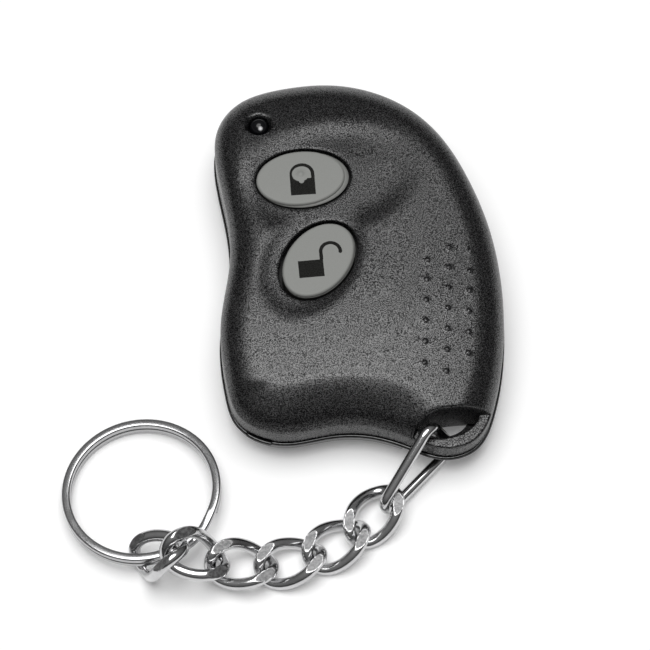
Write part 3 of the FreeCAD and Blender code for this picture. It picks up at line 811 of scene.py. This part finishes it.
lines = [(bodyBox, True)]
for r in (half, half - padlock["stroke"]):
    arch = arcPoints(0, padlock["arch"], r, 0, 180)
    lines.append((np.vstack([[(r, padlock["height"])], arch, [(-r, padlock["height"])]]), False))
for x, y, r in (padlock["bare"], padlock["drip"]):
    lines.append((ovalRing((x, y, r, r, 0), 0, 40), True))
inkPiece("lock", lines, inLocked)

openShackle = {"x": 3.21, "y": 4.18, "r": 1.5, "end": -6}
ox, oy, oR = openShackle["x"], openShackle["y"], openShackle["r"]
tipAt = np.radians(openShackle["end"])
tip = (ox + oR * np.cos(tipAt), oy + oR * np.sin(tipAt))
stroke = padlock["stroke"] / 2


def inUnlocked(p):
    reach = np.hypot(p[:, 0] - ox, p[:, 1] - oy)
    angle = np.degrees(np.arctan2(p[:, 1] - oy, p[:, 0] - ox))
    arch = (np.abs(reach - oR) < stroke) & (angle > openShackle["end"])
    roundEnd = np.hypot(p[:, 0] - tip[0], p[:, 1] - tip[1]) < stroke
    leg = (np.abs(p[:, 0] - ox + oR) < stroke) & (p[:, 1] > shackleFrom) & (p[:, 1] < oy)
    return inBody(p) | arch | roundEnd | leg


lines = [(bodyBox, True)]
for r in (oR - stroke, oR + stroke):
    arch = arcPoints(ox, oy, r, openShackle["end"], 180)
    lines.append((np.vstack([arch, [(ox - r, padlock["height"])]]), False))
lines.append((ovalRing((*tip, stroke, stroke, 0), 0, 32), True))
inkPiece("unlock", lines, inUnlocked)
print("buttons made")


lampForm = {
    "r": 1.5, "top": 13.0, "base": 7.7, "flange": 1.85, "flangeHigh": 0.9, "baseMiddle": 0.6,
    "legs": 0.45, "legGap": 1.27, "board": 4.4, "around": 64,
}


def lampMesh():
    f = lampForm
    x, y = form["lamp"]
    flangeTop = f["base"] + f["flangeHigh"]
    profile = [(f["baseMiddle"], f["base"]), (f["flange"], f["base"]), (f["flange"], flangeTop),
               (f["r"], flangeTop + 0.02)]
    for t in np.linspace(0, 84, 12):
        profile.append((f["r"] * np.cos(np.radians(t)), f["top"] - f["r"] * (1 - np.sin(np.radians(t)))))
    rows = []
    for r, z in profile:
        ring = ovalRing((x, y, r, r, 0), 0, f["around"])
        if r == f["flange"]:
            ring[:, 0] = np.minimum(ring[:, 0], x + f["r"])      # the flat beside one leg
        rows.append(np.c_[ring, np.full(f["around"], z)])
    points, faces = loft(rows)
    for side in (-f["legGap"], f["legGap"]):
        h = f["legs"] / 2
        square = np.array([(-h, -h), (h, -h), (h, h), (-h, h)]) + (x + side, y)
        legPoints, legFaces = loft([np.c_[square, np.full(4, z)] for z in (f["board"], f["base"] + 0.1)])
        faces += [tuple(k + len(points) for k in face) for face in legFaces]
        points = np.vstack([points, legPoints])
    return newMesh("indicator_lamp", points, faces)


newPiece("indicator_lamp", lampMesh(), "case", looks["lamp_dark"], ["status_led"])
print("lamp made")


class Tree:
    # a geometry node tree built a node at a time
    def __init__(self, name, inputs):
        self.group = bpy.data.node_groups.new(name, "GeometryNodeTree")
        sockets = self.group.interface
        sockets.new_socket("Geometry", in_out="INPUT", socket_type="NodeSocketGeometry")
        for label, kind in inputs:
            sockets.new_socket(label, in_out="INPUT", socket_type=kind)
        sockets.new_socket("Geometry", in_out="OUTPUT", socket_type="NodeSocketGeometry")
        self.inputs = self.group.nodes.new("NodeGroupInput").outputs
        self.output = self.group.nodes.new("NodeGroupOutput").inputs[0]

    def put(self, socket, value):
        if isinstance(value, bpy.types.NodeSocket):
            self.group.links.new(value, socket)
        else:
            socket.default_value = value

    def node(self, kind, settings=None, **values):
        node = self.group.nodes.new(kind)
        for key, value in (settings or {}).items():
            setattr(node, key, value)
        for key, value in values.items():
            self.put(node.inputs[key.replace("_", " ")], value)
        return node

    def math(self, operation, *values):
        node = self.group.nodes.new("ShaderNodeMath")
        node.operation = operation
        for socket, value in zip(node.inputs, values):
            self.put(socket, value)
        return node.outputs[0]

    def finish(self, geometry):
        shaded = self.node("GeometryNodeSetShadeSmooth", Geometry=geometry)
        real = self.node("GeometryNodeRealizeInstances", Geometry=shaded.outputs[0])
        done = self.node("GeometryNodeSetMaterial", Geometry=real.outputs[0])
        self.put(done.inputs["Material"], self.inputs["Material"])
        self.group.links.new(done.outputs[0], self.output)


def grown(tree, name, mesh, values, material):
    # the plain mesh that a tree makes from a mesh
    holder = bpy.data.objects.new(name, mesh)
    scene.collection.objects.link(holder)
    modifier = holder.modifiers.new(name, "NODES")
    modifier.node_group = tree.group
    for item in tree.group.interface.items_tree:
        if item.in_out == "INPUT" and item.name in values:
            modifier[item.identifier] = values[item.name]
        if item.in_out == "INPUT" and item.name == "Material":
            modifier[item.identifier] = material
    bpy.context.view_layer.update()
    made = bpy.data.meshes.new_from_object(holder.evaluated_get(bpy.context.evaluated_depsgraph_get()))
    bpy.data.objects.remove(holder)
    return made


number = "NodeSocketFloat"
linkForm = {
    "Half length": 4.75, "Half width": 3.05, "Wire radius": 0.92,
    "Twist": 45.0, "Fullness": 2.35, "Flat level": 1.8, "Bright rim": 0.05,
}
linkCount = 6
linkTree = Tree("curbLink", [(k, number) for k in linkForm] + [("Material", "NodeSocketMaterial")])
t = linkTree
around = t.node("GeometryNodeCurvePrimitiveCircle", Resolution=168, Radius=1.0)
turn = t.math("MULTIPLY", t.node("GeometryNodeSplineParameter").outputs["Factor"], 2 * np.pi)
power = t.math("DIVIDE", 2.0, t.inputs["Fullness"])


def fullWave(kind, size):
    wave = t.math(kind, turn)
    full = t.math("POWER", t.math("ABSOLUTE", wave), power)
    return t.math("MULTIPLY", t.math("MULTIPLY", full, t.math("SIGN", wave)), t.inputs[size])


u = fullWave("COSINE", "Half length")
w = fullWave("SINE", "Half width")
bend = t.math("MULTIPLY", t.math("DIVIDE", u, t.inputs["Half length"]), t.math("RADIANS", t.inputs["Twist"]))
path = t.node("ShaderNodeCombineXYZ", X=u, Y=t.math("MULTIPLY", w, t.math("COSINE", bend)),
              Z=t.math("MULTIPLY", w, t.math("MULTIPLY", t.math("SINE", bend), -1.0)))
bent = t.node("GeometryNodeSetPosition", Geometry=around.outputs[0], Position=path.outputs[0])
even = t.node("GeometryNodeResampleCurve", Curve=bent.outputs[0], Count=150)
wire = t.node("GeometryNodeCurvePrimitiveCircle", Resolution=44, Radius=t.inputs["Wire radius"])
swept = t.node("GeometryNodeCurveToMesh", Curve=even.outputs[0], **{"Profile_Curve": wire.outputs[0]})
place = t.node("ShaderNodeSeparateXYZ", Vector=t.node("GeometryNodeInputPosition").outputs[0])
low = t.math("MULTIPLY", t.inputs["Flat level"], -1.0)
cut = t.math("MAXIMUM", t.math("MINIMUM", place.outputs[2], t.inputs["Flat level"]), low)
flats = t.node("ShaderNodeCombineXYZ", X=place.outputs[0], Y=place.outputs[1], Z=cut)
edgeOfFlat = t.math("ADD", t.inputs["Flat level"], t.inputs["Bright rim"])      # leaves a bright rim
beyond = t.math("GREATER_THAN", t.math("ABSOLUTE", place.outputs[2]), edgeOfFlat)
marked = t.node("GeometryNodeStoreNamedAttribute", Geometry=swept.outputs[0], Name="ground", Value=beyond)
t.finish(t.node("GeometryNodeSetPosition", Geometry=marked.outputs[0], Position=flats.outputs[0]).outputs[0])
linkMesh = grown(t, "curb_link", bpy.data.meshes.new("linkSeed"), linkForm, looks["chain_chrome"])


def lieOf(node):
    # where a link lies, from the middle and the main axes of its solid
    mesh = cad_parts[node].data
    mesh.calc_loop_triangles()
    co = np.array([v.co[:] for v in mesh.vertices])
    corners = co[np.array([t.vertices[:] for t in mesh.loop_triangles])]
    area = np.linalg.norm(np.cross(corners[:, 1] - corners[:, 0], corners[:, 2] - corners[:, 0]), axis=1)
    spots = corners.mean(1)
    middle = (spots * area[:, None]).sum(0) / area.sum()
    off = spots - middle
    size, axes = np.linalg.eigh((off * area[:, None]).T @ off)
    along, up = axes[:, 2], axes[:, 0]
    lie = np.eye(4)
    lie[:3, 0], lie[:3, 1], lie[:3, 2], lie[:3, 3] = along, np.cross(up, along), up, middle
    return Matrix(lie.tolist())


for i in range(1, linkCount + 1):
    node = "chain_link_%d" % i
    mesh = linkMesh.copy()
    mesh.transform(lieOf(node) @ Matrix.Scale(mm, 4))
    for v in mesh.vertices:
        v.co.z = max(v.co.z, cadBox[0][2])      # rests on the table, no lower
    newPiece("curb_link_%d" % i, mesh, "link_%d" % i, looks["chain_chrome"], [node], 25)
print("links made:", len(linkMesh.polygons), "faces each")

loopForm = {"Wire radius": 0.8, "Bend radius": 1.9}
loopEnds = {"tip": (3.46, -39.5, 2.88), "upper": (10.2, -29.15, 10.4), "lower": (13.9, -28.5, 0.95)}
loopTree = Tree("wireLoop", [(k, number) for k in loopForm] + [("Material", "NodeSocketMaterial")])
t = loopTree
route = t.node("GeometryNodeMeshToCurve", Mesh=t.inputs["Geometry"])
soft = t.node("GeometryNodeFilletCurve", {"mode": "POLY"}, Curve=route.outputs[0], Count=22,
              Radius=t.inputs["Bend radius"])
wire = t.node("GeometryNodeCurvePrimitiveCircle", Resolution=40, Radius=t.inputs["Wire radius"])
swept = t.node("GeometryNodeCurveToMesh", Curve=soft.outputs[0], **{"Profile_Curve": wire.outputs[0]})
t.finish(swept.outputs[0])
tip, upper, lower = (Vector(loopEnds[k]) for k in ("tip", "upper", "lower"))
bendR = loopForm["Bend radius"]
apex = tip.copy()
for k in range(20):       # closes in on the corner whose rounding ends at the tip
    toUpper, toLower = (upper - apex).normalized(), (lower - apex).normalized()
    halfAngle = toUpper.angle(toLower) / 2
    apex = tip - (toUpper + toLower).normalized() * (bendR / np.sin(halfAngle) - bendR)
seed = bpy.data.meshes.new("loopSeed")
seed.from_pydata([apex, upper, lower], [(0, 1), (1, 2), (2, 0)], [])
mesh = grown(t, "wire_loop", seed, loopForm, looks["chain_chrome"])
mesh.transform(Matrix.Scale(mm, 4))
newPiece("wire_loop", mesh, "loop", looks["chain_chrome"], ["loop_link"], 30)

ringForm = {
    "Radius": 11.35, "Wire width": 1.3, "Wire height": 1.05, "Wire edge": 0.32,
    "Pitch": 1.12, "Sweep": 345.0, "Step": 13.0, "Turn": -32.0,
}
ringPlace = {"centre": (-33.14, -36.58, 2.3), "tilt": 5.5, "towards": -50.5}
ringTree = Tree("splitRing", [(k, number) for k in ringForm] + [("Material", "NodeSocketMaterial")])
t = ringTree
spine = t.node("GeometryNodeMeshLine", Count=720)
route = t.node("GeometryNodeMeshToCurve", Mesh=spine.outputs[0])
along = t.node("GeometryNodeSplineParameter").outputs["Factor"]
run = t.math("SUBTRACT", t.math("MULTIPLY", along, 2.0), 1.0)
angle = t.math("MULTIPLY", run, t.inputs["Sweep"])
share = t.math("MAXIMUM", t.math("MINIMUM", t.math("DIVIDE", angle, t.inputs["Step"]), 1.0), -1.0)
ease = t.math("MULTIPLY", share, t.math("SUBTRACT", 3.0, t.math("MULTIPLY", share, share)))
height = t.math("MULTIPLY", t.math("MULTIPLY", ease, 0.25), t.inputs["Pitch"])
turn = t.math("RADIANS", t.math("ADD", angle, t.inputs["Turn"]))
path = t.node("ShaderNodeCombineXYZ", X=t.math("MULTIPLY", t.math("COSINE", turn), t.inputs["Radius"]),
              Y=t.math("MULTIPLY", t.math("SINE", turn), t.inputs["Radius"]), Z=height)
coil = t.node("GeometryNodeSetPosition", Geometry=route.outputs[0], Position=path.outputs[0])
upright = t.node("GeometryNodeSetCurveNormal", {"mode": "Z_UP"}, Curve=coil.outputs[0])
wire = t.node("GeometryNodeCurvePrimitiveQuadrilateral", Width=t.inputs["Wire width"],
              Height=t.inputs["Wire height"])
soft = t.node("GeometryNodeFilletCurve", {"mode": "POLY"}, Curve=wire.outputs[0], Count=5,
              Radius=t.inputs["Wire edge"])
t.finish(t.node("GeometryNodeCurveToMesh", Curve=upright.outputs[0],
                **{"Profile_Curve": soft.outputs[0], "Fill_Caps": True}).outputs[0])
mesh = grown(t, "split_ring_coils", bpy.data.meshes.new("ringSeed"), ringForm, looks["ring_chrome"])
turnTo = Matrix.Rotation(np.radians(ringPlace["towards"]), 4, "Z")
lean = turnTo @ Matrix.Rotation(np.radians(-ringPlace["tilt"]), 4, "Y") @ turnTo.inverted()
mesh.transform(Matrix.Scale(mm, 4) @ Matrix.Translation(ringPlace["centre"]) @ lean)
newPiece("split_ring_coils", mesh, "ring", looks["ring_chrome"], ["split_ring"], 40)
print("loop and ring made")


# Hidden pieces are shown as their solids, with a look of their own
kept = {
    "circuit_board": "board_green", "battery": "cell_wrap", "positive_contact": "contact_steel",
    "negative_contact": "contact_steel", "encoder_chip": "chip_black", "resonator_can": "can_steel",
    "lock_switch_body": "switch_black", "unlock_switch_body": "switch_black",
    "lock_switch_plunger": "plunger_brown", "unlock_switch_plunger": "plunger_brown",
}
for node, look in kept.items():
    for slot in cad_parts[node].material_slots:
        slot.material = looks[look]


floorForm = {"reach": 3, "tone": 0.92, "roughness": 0.7, "lift": 0.15}      # lift: it glows a little
lowest = min(v.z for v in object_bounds())
far = floorForm["reach"]
floorMesh = bpy.data.meshes.new("floor")
floorMesh.from_pydata([(x, y, lowest) for x, y in ((-far, -far), (far, -far), (far, far), (-far, far))],
                      [], [(0, 1, 2, 3)])
floorLook, shader, place = newMaterial("floor_white", [floorForm["tone"]] * 3, floorForm["roughness"])
floorNodes = floorLook.node_tree
rays = floorNodes.nodes.new("ShaderNodeLightPath")
sight = floorNodes.nodes.new("ShaderNodeMath")
sight.operation = "MAXIMUM"
floorNodes.links.new(rays.outputs["Is Camera Ray"], sight.inputs[0])
floorNodes.links.new(rays.outputs["Is Glossy Ray"], sight.inputs[1])
lift = floorNodes.nodes.new("ShaderNodeMath")
lift.operation = "MULTIPLY"
lift.inputs[1].default_value = floorForm["lift"]
floorNodes.links.new(sight.outputs[0], lift.inputs[0])
shader.inputs["Emission Color"].default_value = (1, 1, 1, 1)
floorNodes.links.new(lift.outputs[0], shader.inputs["Emission Strength"])
floorMesh.materials.append(floorLook)
floor = bpy.data.objects.new("floor", floorMesh)
scene.collection.objects.link(floor)
floor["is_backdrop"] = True

# A dark room that grows lighter overhead: from and to a height of the view, strength low and high
roomForm = (0.05, 1.0, 0.02, 0.3)
world = bpy.data.worlds.new("studio")
scene.world = world
world.use_nodes = True
world.node_tree.nodes["Background"].inputs["Color"].default_value = (1, 1, 1, 1)
sky = world.node_tree.nodes.new("ShaderNodeTexCoord")
height = world.node_tree.nodes.new("ShaderNodeSeparateXYZ")
glow = world.node_tree.nodes.new("ShaderNodeMapRange")
for socket, level in zip(glow.inputs[1:5], roomForm):
    socket.default_value = level
world.node_tree.links.new(sky.outputs["Generated"], height.inputs[0])
world.node_tree.links.new(height.outputs[2], glow.inputs[0])
world.node_tree.links.new(glow.outputs[0], world.node_tree.nodes["Background"].inputs["Strength"])


def softbox(name, place, aim, size, watts):
    data = bpy.data.lights.new(name, "AREA")
    data.shape = "ELLIPSE"
    data.size, data.size_y = size
    data.energy = watts
    lamp = bpy.data.objects.new(name, data)
    lamp.location = place
    lamp.rotation_euler = (Vector(aim) - Vector(place)).to_track_quat("-Z", "Y").to_euler()
    scene.collection.objects.link(lamp)


softbox("overhead", place=(-0.05, 0.045, 0.75), aim=(0, 0, 0), size=(0.8, 0.6), watts=5.25)

cameraForm = {
    "target": (-0.0056, -0.0073, 0.0), "distance": 0.4, "elevation": 63.0,
    "focalPixels": 2560.0, "pixels": 650, "sensor": 36,
}
elevation = np.radians(cameraForm["elevation"])
away = Vector((0, -np.cos(elevation), np.sin(elevation)))
cameraData = bpy.data.cameras.new("camera")
cameraData.sensor_width = cameraForm["sensor"]
cameraData.lens = cameraForm["sensor"] * cameraForm["focalPixels"] / cameraForm["pixels"]
camera = bpy.data.objects.new("camera", cameraData)
camera.location = Vector(cameraForm["target"]) + cameraForm["distance"] * away
camera.rotation_euler = (np.pi / 2 - elevation, 0, 0)
scene.collection.objects.link(camera)
scene.camera = camera
scene.view_settings.view_transform = "Standard"
